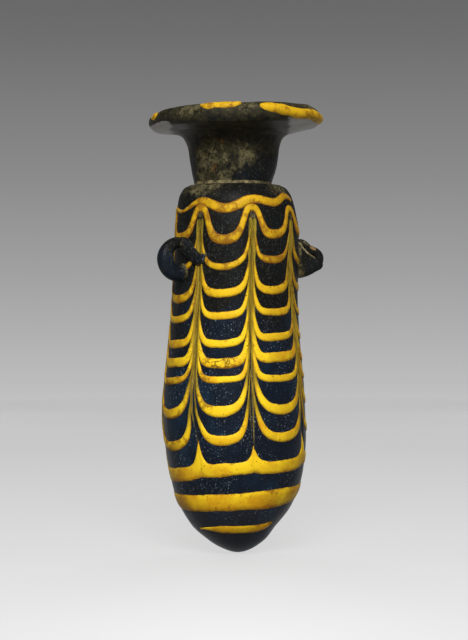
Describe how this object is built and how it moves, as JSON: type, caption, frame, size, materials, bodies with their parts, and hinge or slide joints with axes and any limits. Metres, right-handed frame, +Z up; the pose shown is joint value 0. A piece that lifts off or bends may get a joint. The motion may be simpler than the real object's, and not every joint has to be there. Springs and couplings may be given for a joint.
{
  "type": "alabastron",
  "caption": "Small round-based glass flask with a narrow neck, a wide disc rim, ring lugs for a cord and a combed thread pattern, for perfumed oil.",
  "frame": {"origin": "on the axis of the flask, at the lowest point of the round base", "axes": "+Z up along the axis to the mouth, lugs to the left and right along X, the front towards -Y"},
  "size_m": [0.0446, 0.0434, 0.1108],
  "materials": {
    "dark_glass": "gloss, pitted by age",
    "yellow_glass": "opaque, satin, stained by age"
  },
  "bodies": {
    "root": {"body": "dark_glass", "neck": "dark_glass", "rim_disk": "dark_glass", "rim_thread": "yellow_glass", "left_lug": "dark_glass", "right_lug": "dark_glass", "base_stroke": "yellow_glass", "trail_turn_01": "yellow_glass", "trail_turn_02": "yellow_glass", "trail_turn_03": "yellow_glass", "trail_turn_04": "yellow_glass", "trail_turn_05": "yellow_glass", "trail_turn_06": "yellow_glass", "trail_turn_07": "yellow_glass", "trail_turn_08": "yellow_glass", "trail_turn_09": "yellow_glass", "trail_turn_10": "yellow_glass", "trail_turn_11": "yellow_glass", "trail_turn_12": "yellow_glass"}
  },
  "joints": []
}
